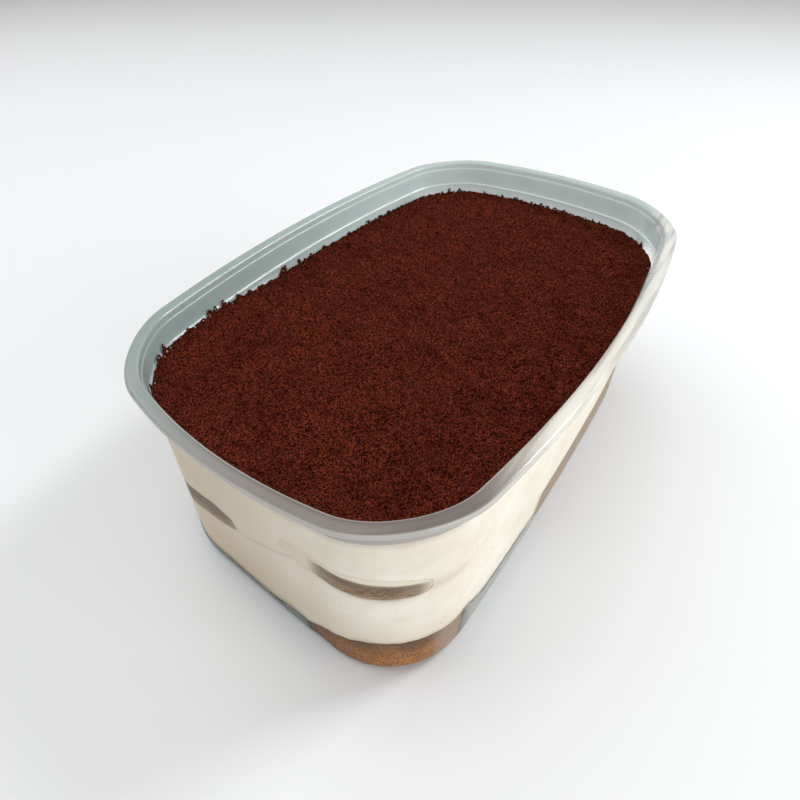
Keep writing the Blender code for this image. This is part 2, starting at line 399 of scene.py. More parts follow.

# %% [markdown]
# ## Clear plastic
# The moulding is clear where the filling lies against it and slightly milky where it stands free, because its
# two faces and its thickness scatter light. Real glass shaders bend and darken what is behind a thin wall, so
# this one is simpler and closer: see-through, a mirror that grows at flat angles, and a share of grey-green
# haze that the wall's own note says, point by point. The haze's colour holds painted light and shade: grey-brown
# at the near corner for the shaded filling seen through it, grey-green that is partly the plastic's own tint and
# partly a painted reflection of its surroundings, lighter at the far end, which is lit from behind, and pale on
# the near side's rim and foot, where the lamp from the right lights it. Its lip carries painted highlights, and
# its foot a painted shade.


# %% Finish of the tub
def plastic_finish():
    f = Finish("clear_plastic")
    haze, edge, pale = f.attribute("haze"), f.attribute("edge"), f.attribute("pale")
    cloud = f.noise(0.012, 2.0)
    fine = f.bump(f.noise(0.016, 1.0), 0.00005, 0.10)
    mirror = f.node("ShaderNodeBsdfAnisotropic", None, {"Color": (0.96, 0.97, 0.97), "Roughness": 0.07, "Normal": fine})
    clear = f.node("ShaderNodeBsdfTransparent", None, {"Color": (0.99, 0.995, 0.99)})
    free = f.ease(0.02, 0.30, haze)
    gloss = f.node("ShaderNodeFresnel", None, {"IOR": 1.24, "Normal": fine}) * (free * 0.45 + 0.15)
    pane = f.node("ShaderNodeMixShader", None, {0: gloss, 1: clear, 2: mirror})
    # Painted light and shade: grey-brown towards the near corner, for the shaded filling seen through the plastic, and
    # grey-green elsewhere, partly the plastic's own tint and partly a painted reflection of the surroundings, lighter
    # towards the far end, which is lit from behind.
    nearness = f.ease(0.15, 1.15, f.x * (-0.8 / HALF_LENGTH) - f.y * (0.6 / HALF_WIDTH))
    farness = f.ease(-0.045, 0.060, f.x)
    cold = f.mix(farness, f.mix(cloud, paint(152, 170, 170), paint(164, 181, 180)), f.mix(cloud, paint(196, 217, 217), paint(212, 228, 228)))
    warm = f.mix(cloud, paint(106, 98, 95), paint(122, 113, 110))
    # Painted light: below the rim's top, the lip's skirt and the wall are a lighter grey near the near corner, which
    # lifts their shade.
    warm = f.mix(f.ease(HEIGHT - 0.0007, HEIGHT - 0.0018, f.z), warm, paint(178, 170, 165))
    # Painted light and painted highlights on the near side's rim and foot, which the lamp from the right lights: a pale
    # colour with bright streaks along the rim.
    streaks = f.ease(0.40, 0.60, f.noise(0.0016, 1.0, 0.5, (14.0, 1.0, 1.0)))
    light = f.mix(streaks, f.mix(f.ease(-0.02, 0.06, f.x), paint(206, 202, 194), paint(186, 196, 197)), paint(238, 236, 229))
    on_top = f.ease(HEIGHT - 0.0016, HEIGHT - 0.0004, f.z)
    tint = f.mix(on_top * 0.22 * (1 - nearness), f.mix(nearness, cold, warm), paint(96, 98, 98))
    tint = f.mix(pale, tint, light)
    # Painted shade: darker grey-green low down, where the haze lies over the shaded gap behind the wall.
    tint = f.mix(f.ease(0.016, 0.010, f.z) * (1 - pale), tint, paint(92, 108, 101))
    # Painted highlights: whitish lines along the lip's roundings, where the edge note says.
    tint = f.mix(edge * 0.6, tint, paint(232, 232, 228))
    milk = f.shader(Base_Color=tint, Roughness=0.16, IOR=1.47, Normal=fine)
    share = (haze * (0.94 + cloud * 0.12)).limited()
    return f.done(f.node("ShaderNodeMixShader", None, {0: share, 1: pane, 2: milk}))


clear_plastic = plastic_finish()
print("finish:", clear_plastic.name)

# %% [markdown]
# ## The tub
# A moulding like this is one section of the wall swept round one outline. Here Geometry Nodes do the sweep: a
# grid has one row for each point of the section and one column for each place round the outline, and Set
# Position puts every point where the outline's rule says. The section is drawn as its own small mesh, so the
# rim, the shoulder below it and the ledge can be changed without touching the tree. Solidify then gives the
# wall its thickness.


# %% Section of the wall
def arc(centre, radius, start, end, steps):
    angles = [math.radians(blend(start, end, step / steps)) for step in range(steps + 1)]
    return [(centre[0] - radius * math.cos(a), centre[1] + radius * math.sin(a)) for a in angles]


def shoulder(inset, step_in, height, drop):
    """A small rounded step inwards, which is what catches the light as a line."""
    eased = [(0.0, 0.0), (0.06, 0.25), (0.2, 0.42), (0.5, 0.55), (0.8, 0.7), (0.95, 0.84), (1.0, 1.0)]
    return [(inset + step_in * across, height - drop * down) for across, down in eased]


def wall_section():
    """Top and inner face of the wall as (inset, height), from the lip's edge over the rim to the floor."""
    lip, round_, width = 0.0012, 0.0007, 0.0026
    section = [(0.0, HEIGHT - lip)]
    section += arc((round_, HEIGHT - round_), round_, 0, 90, 6)
    section += [(blend(round_, width - round_, 0.5), HEIGHT - 0.00006)]
    section += arc((width - round_, HEIGHT - round_), round_, 90, 180, 6)
    section += [(width, HEIGHT - 0.0012)]
    section += shoulder(width, 0.0002, HEIGHT - 0.0016, 0.0005)
    section += [(0.0028 - 0.00005, HEIGHT - 0.0035), (0.0027, HEIGHT - 0.0052)]
    section += shoulder(0.00268, LEDGE_INSET - 0.00268, HEIGHT - LEDGE_DROP + 0.0002, 0.0007)
    body_top = HEIGHT - LEDGE_DROP - LEDGE_HEIGHT - 0.0003
    heights = [blend(body_top, 0.0045, step / 22) for step in range(23)]
    inner_round = BASE_ROUND - WALL
    heights += [WALL + inner_round * (1 - math.sin(math.radians(11.25 * step))) for step in range(9)]
    return section + [(float(wall_inset(height)), height) for height in heights]


section = wall_section()
floor_shares = [0.03, 0.25, 0.5, 0.75, 1.0]
section_points = [(inset, 0.0, height) for inset, height in section]
section_points += [(section[-1][0], share, WALL) for share in floor_shares]
section_edges = [(step, step + 1) for step in range(len(section_points) - 1)]
section_mesh = bpy.data.meshes.new("wall_section")
section_mesh.from_pydata(section_points, section_edges, [])
section_drawing = bpy.data.objects.new("wall_section", section_mesh)
print("section: %d points" % len(section_points))


# %% A tree that sweeps the section round the outline
class Shape(Board):
    """A Geometry Nodes tree under construction."""

    def __init__(self, name):
        super().__init__(bpy.data.node_groups.new(name, "GeometryNodeTree"))
        self.tree.interface.new_socket("Geometry", in_out="INPUT", socket_type="NodeSocketGeometry")
        self.tree.interface.new_socket("Geometry", in_out="OUTPUT", socket_type="NodeSocketGeometry")
        self.given = self.tree.nodes.new("NodeGroupInput")
        self.geometry = Wire(self, self.given.outputs[0])

    def ask(self, name, kind="Float"):
        """A named input of the tree."""
        self.tree.interface.new_socket(name, in_out="INPUT", socket_type="NodeSocket" + kind)
        return Wire(self, self.given.outputs[name])

    def done(self, geometry, finish):
        real = self.node("GeometryNodeRealizeInstances", None, {0: geometry})
        self.node("NodeGroupOutput", None, {0: self.node("GeometryNodeSetMaterial", None, {0: real, "Material": finish})})
        return self.tree


def sweep_tree():
    t = Shape("sweep_round_the_outline")
    drawing, finish = t.ask("Section", "Object"), t.ask("Finish", "Material")
    rows = t.ask("Points in the section", "Int")
    corner_steps, long_steps, short_steps = [t.ask(n + " steps", "Int") for n in ("Corner", "Long side", "Short side")]
    height, half_length, half_width = [t.ask(n) for n in ("Height", "Half length", "Half width")]
    rim_corner, base_corner = t.ask("Rim corner"), t.ask("Base corner")
    rim_ends, base_ends = t.ask("Rim bow of ends"), t.ask("Base bow of ends")
    rim_sides, base_sides = t.ask("Rim bow of sides"), t.ask("Base bow of sides")

    half_turn = corner_steps * 2 + long_steps + short_steps
    columns = half_turn * 2
    grid = t.node("GeometryNodeMeshGrid", None, {"Size X": 1.0, "Size Y": 1.0, "Vertices X": columns + 1, "Vertices Y": rows})
    index = t.node("GeometryNodeInputIndex")
    column = (index / rows).math("FLOOR")
    row = index - column * rows
    half = (column / half_turn).math("FLOOR")
    step = column - half * half_turn

    def part(start, length):
        return ((step - start) / length).limited() * 0.5

    place = half * 2 + part(0.0, corner_steps) + part(corner_steps, long_steps)
    place = place + part(corner_steps + long_steps, corner_steps)
    place = place + part(corner_steps * 2 + long_steps, short_steps)

    def side(shift):
        away = ((place - shift).math("MODULO", 4.0) - 2.0).math("ABSOLUTE")
        return ((away - 1) * 4.0).math("MINIMUM", 1.0).math("MAXIMUM", -1.0)

    quarter = place.math("FLOOR")
    turned = (quarter + ((place - quarter) * 2.0).limited()) * (math.pi / 2)
    outlined = t.node("GeometryNodeObjectInfo", None, {"Object": drawing}, out=4)
    sampled = t.node(
        "GeometryNodeSampleIndex", {"data_type": "FLOAT_VECTOR", "domain": "POINT"},
        {"Geometry": outlined, "Value": t.node("GeometryNodeInputPosition"), "Index": row},
    )
    inset, shrink, z = t.outputs("ShaderNodeSeparateXYZ", None, {0: sampled})
    drop = 1 - z / height
    length, width = half_length - inset, half_width - inset
    corner = (rim_corner - inset) * (1 - drop) + base_corner * drop
    x = side(-0.25) * (length - corner) + corner * turned.math("COSINE")
    y = side(0.75) * (width - corner) + corner * turned.math("SINE")
    bow_ends = rim_ends * (1 - drop) + base_ends * drop
    bow_sides = rim_sides * (1 - drop) + base_sides * drop
    out_x = x * (bow_ends * (1 - (y / width) * (y / width)) + 1) * (1 - shrink)
    out_y = y * (bow_sides * (1 - (x / length) * (x / length)) + 1) * (1 - shrink)
    spot = t.node("ShaderNodeCombineXYZ", None, {0: out_x, 1: out_y, 2: z})
    swept = t.node("GeometryNodeSetPosition", None, {"Geometry": grid, "Position": spot})
    closed = t.node("GeometryNodeMergeByDistance", None, {"Geometry": swept, "Distance": 0.000005})
    return t.done(t.node("GeometryNodeSetShadeSmooth", None, {0: closed}), finish)


def use_tree(piece, tree, **answers):
    """Adds the tree to the piece, with each named input set by its socket's identifier."""
    modifier = piece.modifiers.new(tree.name, "NODES")
    modifier.node_group = tree
    sockets = {item.name: item.identifier for item in tree.interface.items_tree if item.in_out == "INPUT"}
    for name, value in answers.items():
        modifier[sockets[name.replace("_", " ")]] = value
    return modifier


sweep = sweep_tree()
print("tree: %s, %d nodes" % (sweep.name, len(sweep.nodes)))

# %% [markdown]
# The grid comes out with its rows along Y, so a point's index counts up the section first. Where the last
# column meets the first, and where the floor's rows shrink to the middle, the points are merged.

# %% The tub, swept and given its thickness
tub = new_piece("clear_tub", [], [], None)
use_tree(
    tub, sweep, Section=section_drawing, Finish=clear_plastic, Points_in_the_section=len(section_points),
    Corner_steps=20, Long_side_steps=44, Short_side_steps=24,
    Height=HEIGHT, Half_length=HALF_LENGTH, Half_width=HALF_WIDTH,
    Rim_corner=RIM_CORNER, Base_corner=BASE_CORNER, Rim_bow_of_ends=RIM_BOW_ENDS, Base_bow_of_ends=BASE_BOW_ENDS,
    Rim_bow_of_sides=RIM_BOW_SIDES, Base_bow_of_sides=BASE_BOW_SIDES,
)
wall = tub.modifiers.new("wall", "SOLIDIFY")
wall.thickness, wall.offset, wall.use_even_offset = WALL, -1.0, True
settle(tub)
tub.data.set_sharp_from_angle(angle=math.radians(50))
x, y, z = points_of(tub).T
near = smooth(0.15, 1.15, -(0.8 * x / HALF_LENGTH + 0.6 * y / HALF_WIDTH))
near_side = smooth(-0.030, -0.037, y) * smooth(-0.056, -0.030, x)
milky = blend(0.86, 0.60, smooth(-0.045, 0.060, x)) * (1 - 0.25 * near_side)
room_above = z - cocoa_high(x, y, 1.0)
free_above = blend(smooth(-0.0002, 0.0008, room_above), smooth(0.0532, 0.0546, z), np.maximum(near, near_side)) * milky
standing_back = np.clip(sponge_setback(x, y) / 0.0012, 0, 1) * smooth(0.0012, -0.0002, z - cream_low(x, y))
side_foot = smooth(-0.030, -0.037, y) * smooth(-0.060, -0.050, x) * smooth(0.030, 0.025, z)
haze = np.maximum.reduce([free_above, standing_back * (0.55 + 0.2 * side_foot), smooth(0.004, 0.0, z) * 0.04]) + 0.004
# Painted highlights: the edge note marks the lip's roundings, most towards the near corner.
edge = smooth(HEIGHT - 0.00004, HEIGHT - 0.00025, z) * smooth(HEIGHT - 0.0018, HEIGHT - 0.0010, z) * (0.15 + 0.85 * near)
# Painted light: the pale note marks the near side's rim and foot, which the lamp from the right lights.
note(tub, "pale", np.maximum(near_side * smooth(0.0575, 0.0590, z), 0.6 * side_foot))
note(tub, "edge", edge)
note(tub, "haze", haze)
told(tub)

# %% [markdown]
# ## Cream, sponge and biscuit
# Cream pressed against a wall is smooth, so its finish is mostly colour: a warm white, a little darker and
# yellower where it is thin over a biscuit, with a few specks of crumb and tiny air pockets. Soaked biscuit is
# a web of fibres and pores, so its colour changes over a few tenths of a millimetre, and cream is smeared over
# its edges. How close each point of the cream lies to a biscuit is worked out once and kept on the mesh.


# %% Finishes of the cream
def cream_finish(name):
    f = Finish(name)
    soaked = f.attribute("soaked")
    slow, small = f.noise(0.014, 2.0), f.noise(0.0014, 3.0, 0.6)
    colour = f.mix(f.ease(0.35, 0.7, slow), paint(244, 235, 217), paint(250, 245, 233))
    # Painted shade: the cream is browner towards the far side of the -X end, which is turned away from the light.
    colour = f.mix(f.ease(-0.034, 0.012, f.y) * f.ease(-0.048, -0.062, f.x) * 0.52, colour, paint(188, 154, 106))
    colour = f.mix(f.ease(0.028, 0.014, f.z) * f.ease(-0.040, -0.056, f.x) * 0.25, colour, paint(196, 168, 132))
    colour = f.mix(f.ease(0.45, 0.75, f.noise(0.006, 2.0)) * 0.22, colour, paint(222, 208, 182))
    stain = f.mix(f.ease(0.3, 0.7, small), paint(140, 120, 94), paint(176, 156, 126))
    between = f.ease(-0.0235, -0.0185, f.y) * f.ease(-0.004, -0.010, f.y)
    stain = f.mix(between, stain, paint(150, 148, 134))
    wetness = (soaked * (0.80 + small * 0.4)).limited()
    colour = f.mix(wetness, colour, stain)
    specks = f.ease(0.72, 0.76, f.noise(0.0007, 1.0)) * f.ease(0.56, 0.62, f.noise(0.005, 0.0))
    colour = f.mix(specks * 0.55, colour, paint(150, 118, 82))
    pockets = f.ease(0.24, 0.18, f.noise(0.0022, 1.0))
    colour = f.mix(pockets * 0.35, colour, paint(196, 186, 166))
    bumps = f.bump(f.noise(0.004, 2.0), 0.00025, 0.4)
    normal = f.bump(pockets, -0.0002, 0.5, bumps)
    return f.done(f.shader(Base_Color=colour, Roughness=0.42, IOR=1.42, Normal=normal))


def biscuit_finish():
    f = Finish("soaked_biscuit")
    smear, shade = f.attribute("smear"), f.attribute("shade")
    fibre = f.noise(0.00050, 3.0, 0.6, (3.4, 3.4, 1.0))
    pores = f.noise(0.00065, 2.0, 0.6)
    streaks = f.noise(0.0011, 2.0, 0.6, (3.0, 3.0, 0.8))
    colour = f.mix(f.ease(0.34, 0.66, fibre), paint(100, 74, 48), paint(172, 138, 98))
    colour = f.mix(f.ease(0.54, 0.68, streaks) * (1 - shade) * 0.7, colour, paint(196, 166, 134))
    colour = f.mix(f.ease(0.42, 0.30, pores) * 0.75, colour, paint(66, 46, 30))
    colour = f.mix(shade * 0.55, colour, paint(84, 66, 48))
    # The film of cream copies the cream's painted shade at the -X end.
    film = f.mix(f.ease(0.5, 0.95, smear), paint(166, 150, 126), f.mix(f.ease(-0.034, 0.012, f.y) * 0.52, paint(240, 231, 213), paint(188, 154, 106)))
    colour = f.mix((smear * 1.15 + (fibre - 0.5) * 0.6 * smear * (1 - smear)).limited(), colour, film)
    return f.done(f.shader(Base_Color=colour, Roughness=0.5, IOR=1.4, Normal=f.bump(fibre * (1 - smear), 0.0003, 0.8)))


def sponge_finish():
    f = Finish("soaked_sponge")
    smear = f.attribute("smear")
    crumb = f.noise(0.00034, 3.0, 0.65)
    pores, wet = f.noise(0.0008, 2.0, 0.6), f.noise(0.007, 2.0)
    colour = f.mix(f.ease(0.34, 0.66, crumb), paint(92, 50, 18), paint(224, 152, 80))
    colour = f.mix(f.ease(0.42, 0.62, wet) * 0.4, colour, paint(120, 76, 40))
    colour = f.mix(f.ease(0.42, 0.32, pores) * 0.7, colour, paint(74, 42, 20))
    top = f.ease(0.0085, 0.0140, f.z + (wet - 0.5) * 0.006)
    colour = f.mix(top * 0.66, colour, paint(84, 62, 44))
    # Painted shade: the sponge is darker away from the near long side, on the end that faces away from the light.
    colour = f.mix(f.ease(-0.034, -0.016, f.y) * 0.5, colour, paint(82, 58, 38))
    film = f.mix(crumb, paint(150, 132, 114), paint(186, 164, 142))
    colour = f.mix((smear + (crumb - 0.5) * 0.6 * smear).limited(), colour, film)
    return f.done(f.shader(Base_Color=colour, Roughness=0.6, IOR=1.4, Normal=f.bump(crumb, 0.0004, 0.9)))


def crumb_finish():
    f = Finish("cream_crumb")
    colour = f.mix(f.noise(0.0006, 2.0), paint(150, 104, 80), paint(218, 190, 164))
    return f.done(f.shader(Base_Color=colour, Roughness=0.6, Normal=f.bump(f.noise(0.0003), 0.0001, 0.6)))


cream = cream_finish("cream")
biscuit, sponge_crumb = biscuit_finish(), sponge_finish()
print("finishes:", cream.name, biscuit.name, sponge_crumb.name)

# %% [markdown]
# ## Filling layers
# What lies against a clear wall is made to reach just into it. A gap there would show as a pale film and would
# shift the layer in the view, while a real filling wets the plastic.

# %% Layer maker
REACH = 0.0003
LAYER_WALK = walk(32, 160, 80)


def layer(name, low, high, rows, material, setback=None, reach=REACH, ragged=(0.0, 0.0), seed=0):
    """A filling layer between two heights that follows the wall. Its rows close up at both edges."""
    places = outline(LAYER_WALK, wall_inset(0.025), 0.025)
    uneven = [ragged[end] * (rough(*places, 0.0, 0.0026, seed + end) + 0.6 * rough(*places, 0.0, 0.009, seed + end + 7)) for end in (0, 1)]
    bottom, top = low(*places, 1.0) + uneven[0], high(*places, 1.0) + uneven[1]
    sides = []
    for share in rows:
        height = blend(bottom, top, share)
        inset = wall_inset(height) - reach + (setback(*places) if setback else 0.0)
        sides.append(np.stack([*outline(LAYER_WALK, inset, height), height], 1))

    def cap(side, surface, offset, share):
        x, y = side[:, 0] * share, side[:, 1] * share
        return np.stack([x, y, surface(x, y, share) + offset * smooth(0.75, 1.0, share)], 1)

    shares = (0.2, 0.4, 0.6, 0.75, 0.86, 0.93, 0.97, 0.99)
    rings = [cap(sides[0], low, uneven[0], share) for share in shares] + sides
    rings += [cap(sides[-1], high, uneven[1], share) for share in reversed(shares)]
    return ring_solid(name, rings, material)


FINGER_HALF = (0.0750, 0.0168, 0.0055)
FINGERS = {
    "ladyfinger_near": ((0.0002, -0.0222, 0.0380), 0.6, 8.0),
    "ladyfinger_far": ((-0.0016, 0.0164, 0.0282), 0.0, -18.0),
}


def finger_axes(name):
    _, pitch, roll = FINGERS[name]
    turn = Matrix.Rotation(math.radians(pitch), 3, "Y") @ Matrix.Rotation(math.radians(roll), 3, "X")
    return np.array(turn), np.array(FINGERS[name][0])


def off_finger(name, points):
    """Roughly how far points lie outside a ladyfinger, negative inside it."""
    turn, centre = finger_axes(name)
    x, y, z = np.abs((points - centre) @ turn / FINGER_HALF).T
    plan = (x ** (2 / 0.50) + y ** (2 / 0.50)) ** 0.50
    return ((plan ** (1 / 0.70) + z ** (2 / 0.70)) ** (0.70 / 2) - 1) * FINGER_HALF[2]


def power(value, exponent):
    return np.sign(value) * np.abs(value) ** exponent


def bar_solid(name, finger, grow, material):
    """A ladyfinger: a long flat bar with rounded ends and an uneven, baked surface."""
    around = np.linspace(0, 2 * math.pi, 220, endpoint=False)
    half = np.array(FINGER_HALF) + grow
    turn, centre = finger_axes(finger)
    rings = []
    for up in np.linspace(-math.pi / 2, math.pi / 2, 27)[1:-1]:
        girth = power(math.cos(up), 0.70)
        ring = np.stack([
            half[0] * girth * power(np.cos(around), 0.50), half[1] * girth * power(np.sin(around), 0.50),
            np.full_like(around, half[2] * power(math.sin(up), 0.70)),
        ], 1)
        swell = 1 + 0.035 * rough(*ring.T, 0.007, 5)[:, None] * np.array([0.05, 0.25, 1.0])
        rings.append(ring * swell @ turn.T + centre)
    return ring_solid(name, rings, material)


def cut(target, cutter, operation):
    boolean = target.modifiers.new(cutter.name, "BOOLEAN")
    boolean.object, boolean.operation, boolean.solver = cutter, operation, "EXACT"


print("layer columns:", len(LAYER_WALK))

# %% Sponge, creams and ladyfingers
foot_rows = (0, 0.02, 0.05, 0.10, 0.16, 0.24, 0.34, 0.46, 0.58, 0.70, 0.82, 0.92, 1)


def room_setback(x, y):
    """The room cut for the sponge reaches out through the cream's side wherever the sponge meets the wall."""
    back = sponge_setback(x, y)
    return back - 0.001 * smooth(0.0004, 0.0, back)


sponge = layer("sponge_layer", lambda x, y, share: SPONGE_FLOOR + 0 * x, sponge_high, foot_rows, sponge_crumb, sponge_setback, ragged=(0.0, 0.00012), seed=11)
sponge_room = layer("sponge_room", lambda x, y, share: SPONGE_FLOOR - 0.0004 + 0 * x, lambda x, y, share: sponge_high(x, y) + 0.00005, foot_rows, None, room_setback, ragged=(0.0, 0.00012), seed=11)
cream_rows = [0, 0.006, 0.018] + [step / 40 for step in range(1, 40)] + [0.985, 0.995, 1]
lower = layer("cream_below", cream_low, lambda x, y, share: seam(x, y) - 0.000005, cream_rows, cream, ragged=(0.00018, 0.0), seed=21)
upper = layer("cream_above", lambda x, y, share: seam(x, y) + 0.000005, lambda x, y, share: cocoa_high(x, y, share) - cocoa_thick(x, y, share), cream_rows, cream, ragged=(0.0, 0.00008), seed=21)
inside = layer("inside_of_tub", lambda x, y, share: 0.020 + 0 * x, lambda x, y, share: 0.050 + 0 * x, [step / 44 for step in range(45)], None)
cut(lower, sponge_room, "DIFFERENCE")
fingers, helpers = [], [sponge_room, inside]
for name in FINGERS:
    bar, room = bar_solid(name + "_bar", name, 0.0, biscuit), bar_solid(name + "_room", name, 0.00001, None)
    cut(bar, inside, "INTERSECT")
    cut(lower, room, "DIFFERENCE")
    cut(upper, room, "DIFFERENCE")
    fingers.append(bar)
    helpers.append(room)
for piece in [lower, upper] + fingers:
    settle(piece)
for helper in helpers:
    bpy.data.objects.remove(helper)
for piece in [sponge, lower, upper] + fingers:
    told(piece)
    assert len(piece.data.polygons) > 5000, "a cut went wrong in " + piece.name

# %% [markdown]
# The notes that the finishes read: how near the cream lies to a biscuit or to the sponge's top, and where cream
# is smeared over a ladyfinger's or the sponge's side.

# %% Notes on the fillings
def edge_depth(name, points):
    """How far inside a ladyfinger's outline on the wall a point lies, along the wall. Negative outside."""
    x, y, _ = points.T
    facing = np.stack([(x / HALF_LENGTH) ** 7, (y / HALF_WIDTH) ** 7], 1)
    facing /= np.linalg.norm(facing, axis=1)[:, None] + 1e-12
    along = np.stack([-facing[:, 1], facing[:, 0], 0 * x], 1)
    here, step = off_finger(name, points), 0.0001
    slopes = [(off_finger(name, points + step * way) - here) / step for way in (along, np.array([0.0, 0.0, 1.0]))]
    return -here / np.sqrt(slopes[0] ** 2 + slopes[1] ** 2 + 0.01)


def line(value, width):
    return np.exp(-((value / width) ** 2))


def covered(name, points):
    """1 where cream is smeared over a ladyfinger's side, so that its mark on the wall fades out."""
    x, y, _ = points.T
    turn, centre = finger_axes(name)
    above = ((points - centre) @ turn)[:, 2]
    if name == "ladyfinger_far":
        tail = smooth(0.012, 0.004, y)
        return np.maximum(smooth(0.0080, 0.0025, y), smooth(0.0026, 0.0040, np.abs(above + 0.0010 * tail) + 0.0012 * tail))
    end = np.maximum(smooth(-0.0260, -0.0140, y), 0.82 * smooth(-0.0640, -0.0570, x) * smooth(-0.030, -0.035, y))
    end = np.maximum(end, smooth(-0.0590, -0.0565, x) * smooth(-0.030, -0.035, y))
    return np.maximum(end, smooth(0.0006, 0.0022, above))


for piece in (lower, upper):
    points = points_of(piece)
    x, y, z = points.T
    stain = 0
    for name in FINGERS:
        outside = np.clip(-edge_depth(name, points), 0, 1)
        stain = np.maximum(stain, np.exp(-outside / 0.0006) * 0.7 * (1 - covered(name, points)))
    stain *= smooth(-0.050, -0.056, x)
    above_sponge = np.clip(z - sponge_high(x, y), 0, 1)
    stain = np.maximum(stain, 0.6 * np.exp(-above_sponge / 0.0007) * (sponge_setback(x, y) < 0.0005))
    at_end = smooth(-0.058, -0.064, x) * smooth(-0.018, -0.012, y) * smooth(0.012, 0.004, y)
    stain = np.maximum(stain, 0.22 * line(z - seam(x, y), 0.0007) * at_end)
    halo = line(y + 0.0165, 0.0032) * line(z - 0.0398, 0.0022) * smooth(-0.058, -0.064, x)
    trail = smooth(-0.0625, -0.0590, x) * smooth(-0.046, -0.052, x) * smooth(-0.033, -0.036, y)
    stain = np.maximum.reduce([stain, 0.38 * halo, 0.26 * line(z - 0.0361, 0.0015) * trail])
    note(piece, "soaked", stain)
for piece, name in zip(fingers, FINGERS):
    points = points_of(piece)
    x, y, z = points.T
    turn, centre = finger_axes(name)
    above, depth = ((points - centre) @ turn)[:, 2], edge_depth(name, points)
    low_edge = 0.35 * smooth(0.0010, 0.0001, depth) * smooth(0.0005, -0.0010, above)
    note(piece, "smear", np.maximum(low_edge, covered(name, points)))
    note(piece, "shade", smooth(-0.0022, 0.0006, above))
x, y, z = points_of(sponge).T
right_end = 0.85 * smooth(-0.0575, -0.0535, x) * smooth(-0.030, -0.036, y)
far_stretch = 0.40 * smooth(-0.022, -0.006, x) * smooth(-0.030, -0.037, y)
note(sponge, "smear", np.maximum.reduce([right_end, far_stretch, 0.1 * smooth(-0.02, 0.02, x)]))
print("notes: soaked, smear")

# %% [markdown]
# ## Cocoa
# The powder was sieved on, so it lies in small worm-like clumps under a millimetre long. The core is one skin
# with that relief in its mesh: an even spread of points is joined into triangles, and the relief is a sum of
# waves of one main length in all directions, which gives clumps that run into each other. A finer pattern is
# left to the bump, and loose grains lie on top.


# %% Finish of the cocoa
def cocoa_finish(name, dark, light):
    f = Finish(name)
    clumps, fine = f.noise(0.00031, 1.0), f.noise(0.00014, 1.0)
    broad = f.noise(0.010, 2.0)
    # Painted light and shade: lighter on the crests and darker in the hollows of the same noise that makes the bump, as
    # lit clumps look.
    crest = f.ease(0.42, 0.62, clumps * 0.85 + fine * 0.15)
    colour = f.mix(crest, dark, light)
    colour = f.mix(f.ease(0.35, 0.65, broad) * 0.25, colour, paint(56, 16, 8))
    normal = f.bump(clumps * 0.8 + fine * 0.2, 0.00045, 1.0)
    return f.done(f.shader(Base_Color=colour, Roughness=0.95, Specular_IOR_Level=0.08, Normal=normal))


cocoa_powder = cocoa_finish("cocoa_powder", paint(30, 5, 1), paint(122, 52, 30))
cocoa_loose = cocoa_finish("cocoa_loose", paint(36, 8, 2), paint(114, 46, 26))
print("finishes:", cocoa_powder.name, cocoa_loose.name)


# %% The cocoa's skin with its relief
SPREAD = 0.00037
EDGE_WALK = walk(64, 290, 130)


def share_to_wall(x, y):
    """About 0 in the middle and 1 at the wall, at the cocoa's height."""
    far = np.arctan2(y, x)
    edge = np.stack(outline(EDGE_WALK, wall_inset(COCOA_TOP), COCOA_TOP), 1)
    angle = np.arctan2(edge[:, 1], edge[:, 0])
    order = np.argsort(angle)
    reach = np.interp(far, angle[order], np.linalg.norm(edge, axis=1)[order], period=2 * math.pi)
    return np.hypot(x, y) / reach


def powder_relief(x, y):
    clumps = rough(x, y, 0.0, 0.00125, 31, 40)
    lumps = rough(x, y, 0.0, 0.0042, 32)
    return 0.00025 * clumps + 0.00008 * np.abs(clumps) + 0.00010 * lumps


def skin(spread, edge_points, heights):
    """Points spread evenly inside the edge, joined into triangles: x, y and z of each point, and the faces."""
    dice = np.random.default_rng(41)
    span = np.abs(edge_points).max(0)
    across, along = np.arange(-span[0], span[0], spread), np.arange(-span[1], span[1], spread * 0.866)
    x, y = np.meshgrid(across, along)
    x[1::2] += spread / 2
    x, y = (side + dice.uniform(-0.18, 0.18, side.shape) * spread for side in (x, y))
    inner = share_to_wall(x, y) < 1 - 0.8 * spread / np.hypot(x, y).clip(0.001)
    flat = [Vector(point) for point in edge_points.tolist() + np.stack([x[inner], y[inner]], 1).tolist()]
    count = len(edge_points)
    made = delaunay_2d_cdt(flat, [(step, (step + 1) % count) for step in range(count)], [], 1, 1e-7)
    points = np.array([point[:] for point in made[0]])
    return np.column_stack([points, heights(*points.T)]), [list(face) for face in made[2]]


edge_height = cocoa_high(*outline(EDGE_WALK, wall_inset(COCOA_TOP), COCOA_TOP), 1.0)
edge_height = edge_height + 0.00022 * rough(*outline(EDGE_WALK, 0.003, COCOA_TOP), 0.0, 0.0016, 33) + 0.00016
edge = np.stack(outline(EDGE_WALK, wall_inset(edge_height) - REACH, edge_height), 1)


def cocoa_surface(x, y):
    share = share_to_wall(x, y)
    return cocoa_high(x, y, share) + powder_relief(x, y) * (1 - 0.4 * smooth(0.97, 1.0, share)) + 0.0001


def cocoa_base(x, y):
    share = share_to_wall(x, y)
    return cocoa_high(x, y, share) - cocoa_thick(x, y, share) + 0.00002


top_points, top_faces = skin(SPREAD, edge, cocoa_surface)
base_points, base_faces = skin(0.004, edge, cocoa_base)
count, rim = len(top_points), len(edge)
faces = top_faces + [[corner + count for corner in reversed(face)] for face in base_faces]
faces += [[step, count + step, count + (step + 1) % rim, (step + 1) % rim] for step in range(rim)]
cocoa = new_piece("cocoa_layer", np.vstack([top_points, base_points]).tolist(), faces, cocoa_powder)
told(cocoa)

